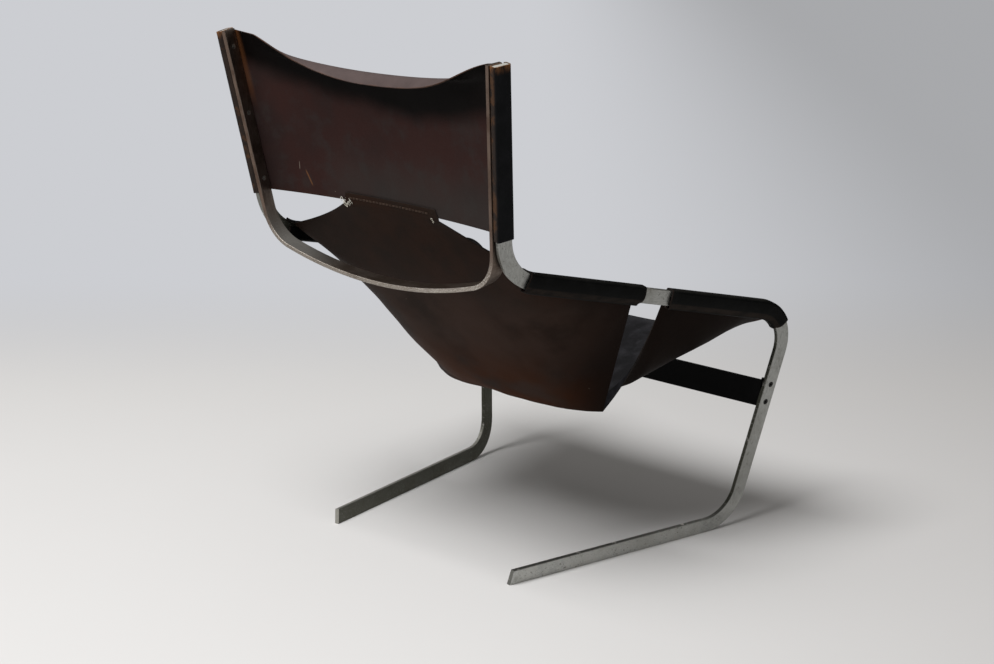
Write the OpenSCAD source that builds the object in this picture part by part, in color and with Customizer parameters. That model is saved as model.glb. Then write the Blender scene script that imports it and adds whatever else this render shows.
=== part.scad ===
// Cantilever lounge chair: two bent flat-bar side frames, a bent back hoop, a crossbar
// between the front legs, and a leather back and seat slung between the frames.
// Millimetres. The sitter faces -Y, +X is the sitter's left, +Z is up. The origin is on the
// floor, midway between the frames and midway between the front and the back.

/* [Side frames] */
// Width of the flat bar, seen from the side
bar_w = 28; // [22:0.5:36]
// Thickness of the flat bar
bar_t = 9; // [6:0.5:12]
// Chamfer along the bar's edges
bar_edge = 0.8; // [0.3:0.1:2]
// Length of the floor runner, from its tip to the foot corner
runner_len = 522; // [440:1:600]
// How far the runner's end is cut back at the top
tip_slant = 6.8; // [0:0.1:12]
// Rise from the foot corner to the knee corner, in the frame's plane
leg_rise = 413; // [360:1:460]
// How far the knee corner stands ahead of the foot corner
leg_rake = 86; // [40:1:130]
// Run of the seat rail, from the knee corner to the rear corner
rail_run = 677; // [600:1:740]
// Rise of the seat rail over that run
rail_rise = 164; // [110:1:210]
// Height of the upright above the rear corner
upright_rise = 369; // [330:1:420]
// How far the upright's top stands behind the rear corner
upright_rake = 47; // [20:1:90]
// Radius of the foot bend, to the middle of the bar
foot_bend_r = 78; // [50:1:95]
// Radius of the knee bend
knee_bend_r = 80; // [60:1:95]
// Radius of the rear bend
rear_bend_r = 95; // [60:1:110]
// Distance from the middle of the chair to the middle of a frame, at the origin
frame_half = 267; // [240:1:290]
// Angle by which each frame turns in towards the back
toe_in = 10.3; // [4:0.1:13]
// Angle by which each frame leans outward
lean_out = 8.3; // [3:0.1:10]
// Distance from the origin forward to the foot corner
foot_forward = 301.5; // [250:1:360]

/* [Back hoop] */
// Width of the hoop's flat bar
hoop_w = 28; // [22:0.5:34]
// Thickness of the hoop's flat bar
hoop_t = 8; // [5:0.5:10]
// How far the hoop's middle stands behind the upright's middle
hoop_back = 4.5; // [2:0.1:7]
// Height of the hoop's lowest point below the upright's top, along the uprights
hoop_drop = 425; // [410:1:450]
// Radius of the hoop's two corners
hoop_corner_r = 76; // [60:1:100]
// Radius of the hoop's long lower curve
hoop_sweep_r = 870; // [700:10:1200]

/* [Front crossbar] */
// Height of the crossbar's face
cross_w = 52; // [44:1:60]
// Thickness of the crossbar
cross_t = 5; // [4:0.5:8]
// Distance up the leg from the foot corner to the crossbar's middle
cross_up = 260; // [200:1:300]
// Depth of the end flange that lies against the leg
flange_w = 25; // [20:0.5:27]

/* [Screws] */
// Shank of the crossbar screws
cross_screw_d = 6; // [5:0.5:7]
// Head of the crossbar screws
cross_head_d = 11; // [9:0.5:12]
// Distance between the two crossbar screws of a leg
cross_screw_pitch = 35; // [26:1:38]
// Shank of the clamp screws that hold the leather between hoop and upright
clamp_screw_d = 5; // [4:0.5:6]
// Head of the clamp screws
clamp_head_d = 9; // [8:0.5:10]
// Distance from the upright's top to the first clamp screw
clamp_first = 30; // [20:1:40]
// Distance between the clamp screws
clamp_pitch = 123; // [100:1:130]

/* [Leather] */
// Thickness of the hide
hide_t = 2.6; // [1.8:0.1:3.5]
// Length of the wrap on the upright, down from its top
wrap_len = 301; // [280:1:306]
// Share of the rear bend that the rear sleeve covers
rear_cover_share = 0.18; // [0:0.01:0.4]
// Distance along the rail from the rear corner to the rear sleeve's front end
rear_sleeve_end = 314; // [280:1:330]
// Distance along the rail from the rear corner to the front sleeve
front_sleeve_start = 377; // [350:1:400]
// Share of the knee bend that the front sleeve covers
knee_cover_share = 0.72; // [0.5:0.01:0.9]
// Drop of the back's upper edge at its middle
back_sag = 22; // [10:1:50]
// How far the back's upper edge swells forward at its middle
back_swell_top = 12.5; // [0:0.5:25]
// How far the back's lower edge swells forward at its middle
back_swell_low = 22; // [5:1:35]
// Length of the back's upper margin that rolls backward
lip_len = 34; // [20:1:45]
// Turn of that margin's bent part at its middle
lip_bend = 125; // [60:1:140]
// Turn of the whole margin at its middle
lip_roll = 147; // [80:1:170]
// Half width of the seat's narrow top, at its upper edge
tab_half = 107; // [90:1:130]
// Half width of the seat's narrow top, at the back's lower edge
tab_low_half = 121; // [100:1:150]
// Height by which that narrow top laps over the back
tab_lap = 16; // [10:1:24]
// Half width of the seat at the side notch's lowest point
notch_half = 213; // [180:1:240]
// Height of that point above the floor
notch_z = 259; // [235:1:300]
// Distance of that point ahead of the seat rail's middle
notch_ahead = 16; // [0:1:40]
// Height of the seat's lowest line above the floor, at its middle
seat_low_z = 256; // [220:1:290]
// Distance of that line's middle behind the notches' lowest points
seat_low_back = 34; // [0:1:80]
// Drop of the seat's front edge at its middle, below the knee bends
front_sag = 58; // [40:1:110]

/* [Hidden] */
$fn = 72;
// Overrun of a cut past the face that it opens
over = 1;
// Gap between leather and what it lies on
ease = 0.3;
// Gap all round a screw's shank, and between its head and the countersink
shank_gap = 0.15;
steel = [0.56, 0.56, 0.54];
black_paint = [0.06, 0.06, 0.065];
hide_black = [0.08, 0.08, 0.085];
hide_brown = [0.25, 0.13, 0.10];
screw_steel = [0.35, 0.35, 0.36];

// The bar's corners in the frame's plane: first number rearward, second upward
tip_corner = [runner_len - foot_forward, bar_w / 2];
foot_corner = [-foot_forward, bar_w / 2];
knee_corner = foot_corner + [-leg_rake, leg_rise];
rear_corner = knee_corner + [rail_run, rail_rise];
top_corner = rear_corner + [upright_rake, upright_rise];
frame_corners = [tip_corner, foot_corner, knee_corner, rear_corner, top_corner];
frame_radii = [0, foot_bend_r, knee_bend_r, rear_bend_r, 0];
// The frame is lowered until the runner's whole underside is cut flat
ground_cut = bar_t / 2 * sin(lean_out);

function unit(v) = v / norm(v);
function mix(a, b, t) = a + (b - a) * t;
function smooth(t) = t * t * (3 - 2 * t);
function heading(P, i) = atan2(P[i + 1][1] - P[i][1], P[i + 1][0] - P[i][0]);
function wrap_angle(a) = a > 180 ? a - 360 : a < -180 ? a + 360 : a;
function turn(P, i) = wrap_angle(heading(P, i) - heading(P, i - 1));
function tangent_len(P, R, i) = R[i] == 0 ? 0 : R[i] * tan(abs(turn(P, i)) / 2);
function along(a) = [cos(a), sin(a)];

// A point of the left frame's plane in the chair's axes: n outward, u rearward, v upward
function world(n, u, v) =
    let (x = n * cos(lean_out) + v * sin(lean_out), z = -n * sin(lean_out) + v * cos(lean_out))
    [frame_half + x * cos(toe_in) - u * sin(toe_in), x * sin(toe_in) + u * cos(toe_in),
        z - ground_cut];
function world_dir(n, u, v) = world(n, u, v) - world(0, 0, 0);

module in_frame_plane() {
    translate([frame_half, 0, -ground_cut]) rotate([0, 0, toe_in]) rotate([0, lean_out, 0])
        rotate([90, 0, 90]) children();
}

// Flat bar with chamfered edges, bent edgewise. A station holds a place on the bar's middle
// line, in the frame's plane, and the direction of travel there.
function section_loop(w, t, e) = [[-w / 2 + e, -t / 2], [w / 2 - e, -t / 2], [w / 2, -t / 2 + e],
    [w / 2, t / 2 - e], [w / 2 - e, t / 2], [-w / 2 + e, t / 2], [-w / 2, t / 2 - e],
    [-w / 2, -t / 2 + e]];
function section_ring(s, w, t, e) = let (d = along(s[1]), c = [d[1], -d[0]])
    [for (q = section_loop(w, t, e)) [s[0][0] + c[0] * q[0], s[0][1] + c[1] * q[0], q[1]]];
bend_steps = 14;
function bend_stations(P, R, i) = let (a = heading(P, i - 1), sense = sign(turn(P, i)),
        centre = P[i] - along(a) * tangent_len(P, R, i) + along(a + 90 * sense) * R[i])
    [for (k = [0 : bend_steps]) let (b = a + turn(P, i) * k / bend_steps)
        [centre + along(b - 90 * sense) * R[i], b]];

// Closed skin round a stack of rings that have the same count of points
module ring_stack(rings) {
    n = len(rings[0]);
    m = len(rings);
    polyhedron(points = [for (r = rings) for (p = r) p],
        faces = concat(
            [for (i = [0 : m - 2]) for (j = [0 : n - 1]) let (k = (j + 1) % n)
                each [[i * n + j, (i + 1) * n + j, i * n + k],
                    [i * n + k, (i + 1) * n + j, (i + 1) * n + k]]],
            [for (j = [1 : n - 2]) [0, j, j + 1]],
            [for (j = [1 : n - 2]) [(m - 1) * n, (m - 1) * n + j + 1, (m - 1) * n + j]]));
}

module bent_bar(P, R) {
    last = len(P) - 1;
    stations = concat([[P[last], heading(P, last - 1)]],
        [for (i = [last - 1 : -1 : 1]) let (b = bend_stations(P, R, i))
            for (k = [bend_steps : -1 : 0]) b[k]],
        [[P[0], heading(P, 0)]]);
    ring_stack([for (s = stations) section_ring(s, bar_w, bar_t, bar_edge)]);
}

// Places on the leg and on the upright, as distances along the bar
leg_dir = unit(knee_corner - foot_corner);
rail_dir = unit(knee_corner - rear_corner);
upright_dir = unit(top_corner - rear_corner);
upright_back = [upright_dir[1], -upright_dir[0]];
rail_up = [rail_dir[1], -rail_dir[0]];
cross_screw_spots = [for (s = [-1, 1]) foot_corner + leg_dir * (cross_up + s * cross_screw_pitch / 2)];
clamp_drops = [for (k = [0 : 2]) clamp_first + k * clamp_pitch];
function upright_at(drop) = top_corner - upright_dir * drop;
function rail_at(s) = rear_corner + rail_dir * s;

cross_head_h = (cross_head_d - cross_screw_d) / 2;
clamp_head_h = (clamp_head_d - clamp_screw_d) / 2;

// Countersunk screw with a hexagon socket, its head's top at 0 and its shank down -Z
module countersunk_screw(d, head_d, head_h, length, socket_share) {
    difference() {
        union() {
            translate([0, 0, -head_h]) cylinder(h = head_h, d1 = d, d2 = head_d);
            translate([0, 0, -length]) cylinder(h = length - head_h, d = d);
        }
        translate([0, 0, -head_h * socket_share])
            cylinder(h = head_h * socket_share + over, d = d * socket_share, $fn = 6);
    }
}

// The hole for such a screw, with the same gap all round
module countersunk_hole(d, head_d, head_h, length) {
    translate([0, 0, -length - over]) cylinder(h = length + 2 * over, d = d + 2 * shank_gap);
    translate([0, 0, -head_h]) cylinder(h = head_h + over,
        d1 = d + 2 * shank_gap, d2 = head_d + 2 * shank_gap + 2 * over);
}

socket_share = 0.7;
// How far a head's top lies below the face that it is sunk in
head_sink = 0.15;
flange_t = cross_t;
cross_screw_len = bar_t + flange_t - head_sink;
// The hoop's arm lies on the wrap's inner layer
hoop_inset = bar_t / 2 + ease + hide_t + ease + hoop_t / 2;
clamp_bite_share = 0.8;
clamp_bite = clamp_bite_share * bar_t;
clamp_screw_len = hoop_t + 2 * ease + hide_t + clamp_bite;

module cross_screw_places(face) {
    for (p = cross_screw_spots) translate([p[0], p[1], face]) children();
}

// A clamp screw comes from the hoop's inner face and points outward
module clamp_screw_places() {
    for (s = clamp_drops) {
        p = upright_at(s) + upright_back * hoop_back;
        translate([p[0], p[1], -hoop_inset - hoop_t / 2 + head_sink]) rotate([180, 0, 0]) children();
    }
}

module side_frame() {
    color(steel) difference() {
        in_frame_plane() difference() {
            bent_bar(frame_corners, frame_radii);
            // The runner's tip, cut at a slant
            translate([tip_corner[0], 0, -bar_t]) rotate([0, 0, atan2(tip_slant, bar_w)])
                cube([bar_w, 2 * bar_w, 2 * bar_t]);
            cross_screw_places(bar_t / 2)
                countersunk_hole(cross_screw_d, cross_head_d, cross_head_h, bar_t);
            clamp_screw_places() translate([0, 0, -clamp_screw_len - 2 * over])
                cylinder(h = clamp_screw_len + over, d = clamp_screw_d + 2 * shank_gap);
        }
        // The underside of the runner, cut flat to stand on the floor
        translate([0, -runner_len, -bar_w]) cube([2 * frame_half, 2 * runner_len, bar_w]);
    }
}

module side_frame_left() { side_frame(); }
module side_frame_right() { mirror([1, 0, 0]) side_frame(); }

// Back hoop: its middle line runs up the long lower curve, round a corner and up the arm.
// It lies in the plane through both uprights; the arms twist to lie flat on the frames.
arm_dir = unit(world_dir(0, upright_dir[0], upright_dir[1]));
plane_up = unit([0, arm_dir[1], arm_dir[2]]);
plane_back = [0, plane_up[2], -plane_up[1]];
arm_back = world_dir(0, upright_back[0], upright_back[1]);
splay = atan2(arm_dir[0], norm([arm_dir[1], arm_dir[2]]));
arm_top = world(-hoop_inset, top_corner[0] + upright_back[0] * hoop_back,
    top_corner[1] + upright_back[1] * hoop_back);
hoop_low = [0, arm_top[1], arm_top[2]] - plane_up * hoop_drop;
// Half distance between the arms, carried down to the height of the hoop's lowest point
arm_foot_half = arm_top[0] - hoop_drop * tan(splay);
arm_turn = 90 - splay;
sweep_turn = asin(cos(splay) * (arm_foot_half - hoop_corner_r * sin(arm_turn)
    + tan(splay) * (hoop_sweep_r - hoop_corner_r * cos(arm_turn))) / (hoop_sweep_r - hoop_corner_r))
    - splay;
function sweep_at(a) = [hoop_sweep_r * sin(a), hoop_sweep_r * (1 - cos(a))];
function corner_at(a) = sweep_at(sweep_turn)
    + hoop_corner_r * [sin(a) - sin(sweep_turn), cos(sweep_turn) - cos(a)];
sweep_steps = 10;
corner_steps = 14;
// Each station: place in the hoop's plane, direction of travel, share of the twist
hoop_half = concat(
    [for (k = [0 : sweep_steps - 1]) let (a = sweep_turn * k / sweep_steps) [sweep_at(a), a, 0]],
    [for (k = [0 : corner_steps]) let (a = mix(sweep_turn, arm_turn, k / corner_steps))
        [corner_at(a), a, smooth(k / corner_steps)]]);
function hoop_point(p) = hoop_low + [p[0], 0, 0] + plane_up * p[1];
function hoop_frame(side, c, a, twist) =
    let (go = unit([cos(a), 0, 0] + plane_up * sin(a)),
        back = mix(plane_back, arm_back, twist),
        wide = unit(back - go * (back * go)),
        thick = cross(go, wide),
        m = [side, 1, 1])
    [for (q = [c, wide, thick]) [q[0] * m[0], q[1], q[2]]];
hoop_stations = concat(
    [hoop_frame(-1, arm_top, arm_turn, 1)],
    [for (k = [len(hoop_half) - 1 : -1 : 1]) let (h = hoop_half[k])
        hoop_frame(-1, hoop_point(h[0]), h[1], h[2])],
    [for (h = hoop_half) hoop_frame(1, hoop_point(h[0]), h[1], h[2])],
    [hoop_frame(1, arm_top, arm_turn, 1)]);
hoop_loop = section_loop(hoop_w, hoop_t, bar_edge);

function hoop_ring(s) = [for (q = hoop_loop) s[0] + s[1] * q[0] + s[2] * q[1]];
module back_hoop() {
    color(steel) difference() {
        ring_stack([for (s = hoop_stations) hoop_ring(s)]);
        for (side = [0, 1]) mirror([side, 0, 0]) in_frame_plane() clamp_screw_places()
            countersunk_hole(clamp_screw_d, clamp_head_d, clamp_head_h, hoop_t);
    }
}

// Front crossbar: a flat bar whose bent ends lie against the legs' inner faces
cross_mid = foot_corner + leg_dir * cross_up;
cross_spot = world(0, cross_mid[0], cross_mid[1]);
leg_back = [leg_dir[1], -leg_dir[0]];
cross_rear = world(0, cross_mid[0] + leg_back[0] * bar_w / 2, cross_mid[1] + leg_back[1] * bar_w / 2)[1];
module flange_block(depth, thick) {
    in_frame_plane() translate([cross_mid[0], cross_mid[1], -bar_t / 2 - thick])
        rotate([0, 0, atan2(leg_dir[1], leg_dir[0]) - 90])
        translate([bar_w / 2 - depth, -cross_w / 2, 0]) cube([depth, cross_w, thick]);
}
module beyond_leg() {
    in_frame_plane() translate([-2 * runner_len, -runner_len, -bar_t / 2])
        cube([4 * runner_len, 3 * runner_len, 2 * runner_len]);
}
module front_crossbar() {
    color(black_paint) difference() {
        union() {
            for (side = [0, 1]) mirror([side, 0, 0]) flange_block(flange_w, flange_t);
            difference() {
                translate([-2 * frame_half, cross_rear - cross_t, cross_spot[2] - cross_w / 2])
                    cube([4 * frame_half, cross_t, cross_w]);
                for (side = [0, 1]) mirror([side, 0, 0]) beyond_leg();
            }
        }
        for (side = [0, 1]) mirror([side, 0, 0]) in_frame_plane() cross_screw_places(-bar_t / 2)
            translate([0, 0, -flange_t - over])
            cylinder(h = flange_t + 2 * over, d = cross_screw_d + 2 * shank_gap);
    }
}

module crossbar_screws() {
    color(screw_steel) for (side = [0, 1]) mirror([side, 0, 0]) in_frame_plane()
        cross_screw_places(bar_t / 2 - head_sink)
        countersunk_screw(cross_screw_d, cross_head_d, cross_head_h, cross_screw_len, socket_share);
}

module clamp_screws() {
    color(screw_steel) in_frame_plane() clamp_screw_places()
        countersunk_screw(clamp_screw_d, clamp_head_d, clamp_head_h, clamp_screw_len, socket_share);
}
module clamp_screws_left() { clamp_screws(); }
module clamp_screws_right() { mirror([1, 0, 0]) clamp_screws(); }

// Leather turned round the bar: a tube of hide that follows stations in the frame's plane
// Corner of the turned hide, outside and inside
turn_out = 1.8;
turn_in = 0.5;
module hide_tube(stations) {
    grow = 2 * (ease + hide_t);
    outer = [for (s = stations) section_ring(s, bar_w + grow, bar_t + grow, turn_out)];
    inner = [for (s = stations) section_ring(s, bar_w + 2 * ease, bar_t + 2 * ease, turn_in)];
    n = len(outer[0]);
    m = len(stations);
    base = n * m;
    in_frame_plane() polyhedron(
        points = concat([for (r = outer) for (p = r) p], [for (r = inner) for (p = r) p]),
        faces = concat(
            [for (i = [0 : m - 2]) for (j = [0 : n - 1]) let (k = (j + 1) % n)
                each [[i * n + j, i * n + k, (i + 1) * n + j],
                    [i * n + k, (i + 1) * n + k, (i + 1) * n + j]]],
            [for (i = [0 : m - 2]) for (j = [0 : n - 1]) let (k = (j + 1) % n)
                each [[base + i * n + j, base + (i + 1) * n + j, base + i * n + k],
                    [base + i * n + k, base + (i + 1) * n + j, base + (i + 1) * n + k]]],
            [for (j = [0 : n - 1]) let (k = (j + 1) % n)
                each [[j, base + j, k], [k, base + j, base + k]]],
            [for (j = [0 : n - 1]) let (k = (j + 1) % n, a = (m - 1) * n)
                each [[a + j, a + k, base + a + j], [a + k, base + a + k, base + a + j]]]));
}

upright_heading = heading(frame_corners, 3);
rail_heading = heading(frame_corners, 2);
module upright_wrap() {
    color(hide_black) difference() {
        hide_tube([for (s = [wrap_len, wrap_len / 2, 0]) [upright_at(s), upright_heading]]);
        in_frame_plane() clamp_screw_places() translate([0, 0, -clamp_screw_len])
            cylinder(h = clamp_screw_len, d = clamp_screw_d + 4 * shank_gap);
    }
}
module upright_wrap_left() { upright_wrap(); }
module upright_wrap_right() { mirror([1, 0, 0]) upright_wrap(); }

// Stations of the rear sleeve, along the rail and a little way round the rear bend
rear_turn = turn(frame_corners, 3);
rear_rail_spot = tangent_len(frame_corners, frame_radii, 3);
rear_centre = rail_at(rear_rail_spot) + rail_up * rear_bend_r;
function rear_at(share) = let (a = rail_heading + rear_turn * share)
    [rear_centre + along(a - 90) * rear_bend_r, a];
rear_steps = 3;
module rear_sleeve() {
    color(hide_black) hide_tube(concat(
        [for (s = [rear_sleeve_end, mix(rear_rail_spot, rear_sleeve_end, 1 / 2)])
            [rail_at(s), rail_heading]],
        [for (k = [0 : rear_steps]) rear_at(rear_cover_share * k / rear_steps)]));
}
module rear_sleeve_left() { rear_sleeve(); }
module rear_sleeve_right() { mirror([1, 0, 0]) rear_sleeve(); }

// Stations of the front sleeve, from its front end round the knee and back along the rail
knee_turn = turn(frame_corners, 2);
rail_len = norm(knee_corner - rear_corner);
knee_rail_spot = rail_len - tangent_len(frame_corners, frame_radii, 2);
knee_centre = rail_at(knee_rail_spot) - rail_up * knee_bend_r;
function knee_at(share) = let (a = rail_heading + abs(knee_turn) * share)
    [knee_centre + along(a + 90) * knee_bend_r, a];
knee_steps = 8;
front_stations = concat(
    [for (k = [knee_steps : -1 : 0]) knee_at(knee_cover_share * k / knee_steps)],
    [for (s = [mix(front_sleeve_start, knee_rail_spot, 1 / 2), front_sleeve_start])
        [rail_at(s), rail_heading]]);
module front_sleeve() { color(hide_black) hide_tube(front_stations); }
module front_sleeve_left() { front_sleeve(); }
module front_sleeve_right() { mirror([1, 0, 0]) front_sleeve(); }

// A row of hide between mirrored edges: it bows from the edge to the point at its middle.
// A power of 2 gives an even curve, and more gives a flatter middle with steeper sides.
function bow(mid, edge, v, power = 2) = let (h = pow(abs(v), power))
    [edge[0] * v, mix(mid[1], edge[1], h), mix(mid[2], edge[2], h)];

// Closed sheet of hide round a grid of points, with its thickness shared by both faces
function grid_normal(G, i, j) = let (m = len(G) - 1, n = len(G[0]) - 1)
    unit(cross(G[min(i + 1, m)][j] - G[max(i - 1, 0)][j], G[i][min(j + 1, n)] - G[i][max(j - 1, 0)]));
module hide_sheet(G) {
    m = len(G);
    n = len(G[0]);
    base = m * n;
    polyhedron(
        points = [for (side = [1, -1]) for (i = [0 : m - 1]) for (j = [0 : n - 1])
            G[i][j] + grid_normal(G, i, j) * side * hide_t / 2],
        faces = concat(
            [for (i = [0 : m - 2]) for (j = [0 : n - 2]) let (a = i * n + j)
                each [[a, a + 1, a + n], [a + 1, a + n + 1, a + n]]],
            [for (i = [0 : m - 2]) for (j = [0 : n - 2]) let (a = base + i * n + j)
                each [[a, a + n, a + 1], [a + 1, a + n, a + n + 1]]],
            [for (i = [0 : m - 2]) let (a = i * n)
                each [[a, a + n, base + a], [a + n, base + a + n, base + a]]],
            [for (i = [0 : m - 2]) let (a = i * n + n - 1)
                each [[a, base + a, a + n], [a + n, base + a, base + a + n]]],
            [for (j = [0 : n - 2]) each [[j, base + j, j + 1], [j + 1, base + j, base + j + 1]]],
            [for (j = [0 : n - 2]) let (a = (m - 1) * n + j)
                each [[a, a + 1, base + a], [a + 1, base + a + 1, base + a]]]));
}

// Back panel: from its rolled upper margin down to the edge that the seat is sewn to.
// Its sides end against the wraps, in front of the hoop's arms.
panel_edge_n = -(bar_t / 2 + ease + hide_t + ease);
panel_edge_back = hoop_back - hoop_w / 2 - hoop_t * sin(toe_in) - ease - hide_t / 2;
// Distance from the upright's top down to the highest point of the rolled margin
lip_clear = 2;
panel_top_drop = lip_len + lip_clear;
// How fast the upper edge's sag dies out down the panel
sag_power = 1.5;
function panel_edge(drop) = let (p = upright_at(drop) + upright_back * panel_edge_back)
    world(panel_edge_n, p[0], p[1]);
function panel_drop(t) = mix(panel_top_drop, wrap_len, t);
function panel_mid(t) = let (e = panel_edge(panel_drop(t)))
    [0, e[1], e[2]] - plane_back * mix(back_swell_top, back_swell_low, t)
        - plane_up * back_sag * pow(max(0, 1 - t), sag_power);
function panel_point(t, v) = bow(panel_mid(t), panel_edge(panel_drop(t)), v);
// Half width over which the margin rolls, as a share of the panel's half width, and how
// suddenly the roll ends there: first the sitter's right, then the left
lip_half_share = [0.9, 0.86];
lip_power = [3.2, 1.5];
// Share of the margin that is its bent part
lip_bend_share = 0.4;
// Turns that stand for a flat margin
lip_flat = [0.7, 1];
function lip_fade(v) = let (i = v < 0 ? 0 : 1, q = abs(v) / lip_half_share[i])
    1 - pow(min(1, q), lip_power[i]);
// Place on an arc that starts upright and has turned from a to b, for a radius of 1
function arc_step(a, b) = [sin(b) - sin(a), cos(a) - cos(b)];
function lip_point(a, v) = let (bend = max(lip_flat[0], lip_bend * lip_fade(v)),
        roll = max(lip_flat[1], lip_roll * lip_fade(v)), s = lip_bend_share,
        r = lip_len * s / (bend * PI / 180), r2 = lip_len * (1 - s) / ((roll - bend) * PI / 180),
        p = r * arc_step(0, bend * min(a, s) / s)
            + r2 * arc_step(bend, mix(bend, roll, max(0, a - s) / (1 - s))))
    panel_point(0, v) + plane_up * p[0] + plane_back * p[1];
lip_rows = 9;
panel_rows = 9;
panel_cols = 24;
function columns(n) = [for (j = [0 : n]) 2 * j / n - 1];
back_grid = concat(
    [for (i = [0 : lip_rows - 1]) [for (v = columns(panel_cols)) lip_point(1 - i / lip_rows, v)]],
    [for (i = [0 : panel_rows]) [for (v = columns(panel_cols)) panel_point(i / panel_rows, v)]]);
module back_panel() { color(hide_brown) hide_sheet(back_grid); }

// Seat sling: one hide with a notch in each side. From its narrow top, lapped behind the
// back's lower edge, it widens to the rear sleeves, drops to the notches' lowest points, and
// climbs to the front sleeves and the front edge.
sheet_step = hide_t + ease;
// How far the narrow top reaches below the back's edge before it turns forward
tab_over = 2 * hide_t;
function tab_spot(lap, half) = let (t = 1 - lap / (wrap_len - panel_top_drop),
        v = half / panel_edge(panel_drop(t))[0])
    panel_point(t, v) + plane_back * sheet_step;
// The sling hangs against the sleeves' inner faces, from a line above the bar's middle
hang_n = -(bar_t / 2 + ease + hide_t + ease + hide_t / 2);
hang_up = bar_w / 2 - hide_t;
function rail_edge(s) = let (p = rail_at(s) + rail_up * hang_up) world(hang_n, p[0], p[1]);
function knee_edge(share) = let (k = knee_at(share), p = k[0] + along(k[1] + 90) * hang_up)
    world(hang_n, p[0], p[1]);
// Share of the knee bend that the sling's front edge reaches
front_reach_share = 0.45;
rail_mid_y = world(0, rail_at(rail_len / 2)[0], rail_at(rail_len / 2)[1])[1];
notch_spot = [notch_half, rail_mid_y - notch_ahead, notch_z];
tab_top = tab_spot(tab_lap, tab_half);
tab_low = tab_spot(-tab_over, tab_low_half);
front_spot = knee_edge(front_reach_share);
// Where the notch meets the rear sleeve, back from its end
notch_inset = 13;
notch_rear = rail_edge(rear_sleeve_end - notch_inset);
notch_front = rail_edge(front_sleeve_start);
rail_start = let (k = rear_at(rear_cover_share / 2), p = k[0] + along(k[1] + 90) * hang_up)
    world(hang_n, p[0], p[1]);
// Curve through three points, the middle one a guide
function arc3(a, b, c, t) = mix(mix(a, b, t), mix(b, c, t), t);
// Edge of the sling: pieces between the rows that these shares of its length name
tab_share = 0.04;
flare_share = 0.20;
rail_share = 0.48;
notch_share = 0.66;
climb_share = 0.80;
function part_share(a, b, t) = (t - a) / (b - a);
// Guides of the curves between those rows, each number a share of the way along its axis
flare_guide_share = [0.6, 0.4, 0.9];
seat_guide_share = [0.62, 0.86];
front_guide_share = 0.35;
// Share of the front sleeve's row that lies on the straight rail
knee_path_share = 0.6;
flare_guide = [for (i = [0 : 2]) mix(tab_low[i], rail_start[i], flare_guide_share[i])];
function sling_edge(t) =
    t <= tab_share ? mix(tab_top, tab_low, t / tab_share) :
    t <= flare_share
        ? arc3(tab_low, flare_guide, rail_start, part_share(tab_share, flare_share, t)) :
    t <= rail_share ? mix(rail_start, notch_rear, part_share(flare_share, rail_share, t)) :
    t <= notch_share ? mix(notch_rear, notch_spot, part_share(rail_share, notch_share, t)) :
    t <= climb_share ? mix(notch_spot, notch_front, part_share(notch_share, climb_share, t)) :
    knee_path(part_share(climb_share, 1, t));
knee_rail_edge = rail_edge(knee_rail_spot);
function knee_path(t) = t < knee_path_share
    ? mix(notch_front, knee_rail_edge, t / knee_path_share)
    : knee_edge(part_share(knee_path_share, 1, t) * front_reach_share);
// Middle line of the sling
tab_mid_top = tab_spot(tab_lap, 0);
tab_mid_low = tab_spot(-tab_over, 0);
seat_low = [0, notch_spot[1] + seat_low_back, seat_low_z];
front_mid = [0, front_spot[1], front_spot[2] - front_sag];
seat_guide = [0, mix(tab_mid_low[1], seat_low[1], seat_guide_share[0]),
    mix(tab_mid_low[2], seat_low[2], seat_guide_share[1])];
front_guide = [0, mix(seat_low[1], front_mid[1], front_guide_share), seat_low[2]];
function sling_mid(t) =
    t <= tab_share ? mix(tab_mid_top, tab_mid_low, t / tab_share) :
    t <= notch_share
        ? arc3(tab_mid_low, seat_guide, seat_low, part_share(tab_share, notch_share, t)) :
    arc3(seat_low, front_guide, front_mid, part_share(notch_share, 1, t));
// How steep the sling's sides are at the notch and at the front edge
notch_power = 5;
front_power = 3;
function sling_power(t) = t <= notch_share
    ? mix(2, notch_power, smooth(max(0, part_share(tab_share, notch_share, t))))
    : mix(notch_power, front_power, part_share(notch_share, 1, t));
// Rows of each piece of the edge, so that a row lies on every corner of it
stop_shares = [0, tab_share, flare_share, rail_share, notch_share, climb_share, 1];
stop_rows = [2, 6, 9, 8, 6, 7];
row_shares = concat([for (i = [0 : len(stop_rows) - 1]) for (k = [0 : stop_rows[i] - 1])
    mix(stop_shares[i], stop_shares[i + 1], k / stop_rows[i])], [1]);
sling_cols = 14;
sling_grid = [for (t = row_shares)
    [for (v = columns(sling_cols)) bow(sling_mid(t), sling_edge(t), v, sling_power(t))]];
module seat_sling() { color(hide_brown) hide_sheet(sling_grid); }

side_frame_left();
side_frame_right();
back_hoop();
front_crossbar();
crossbar_screws();
clamp_screws_left();
clamp_screws_right();
back_panel();
seat_sling();
upright_wrap_left();
upright_wrap_right();
rear_sleeve_left();
rear_sleeve_right();
front_sleeve_left();
front_sleeve_right();
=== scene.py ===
from math import atan2, cos, pi, radians, sin, tan

import bpy
from mathutils import Matrix, Vector, noise
from numpy import interp


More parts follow.
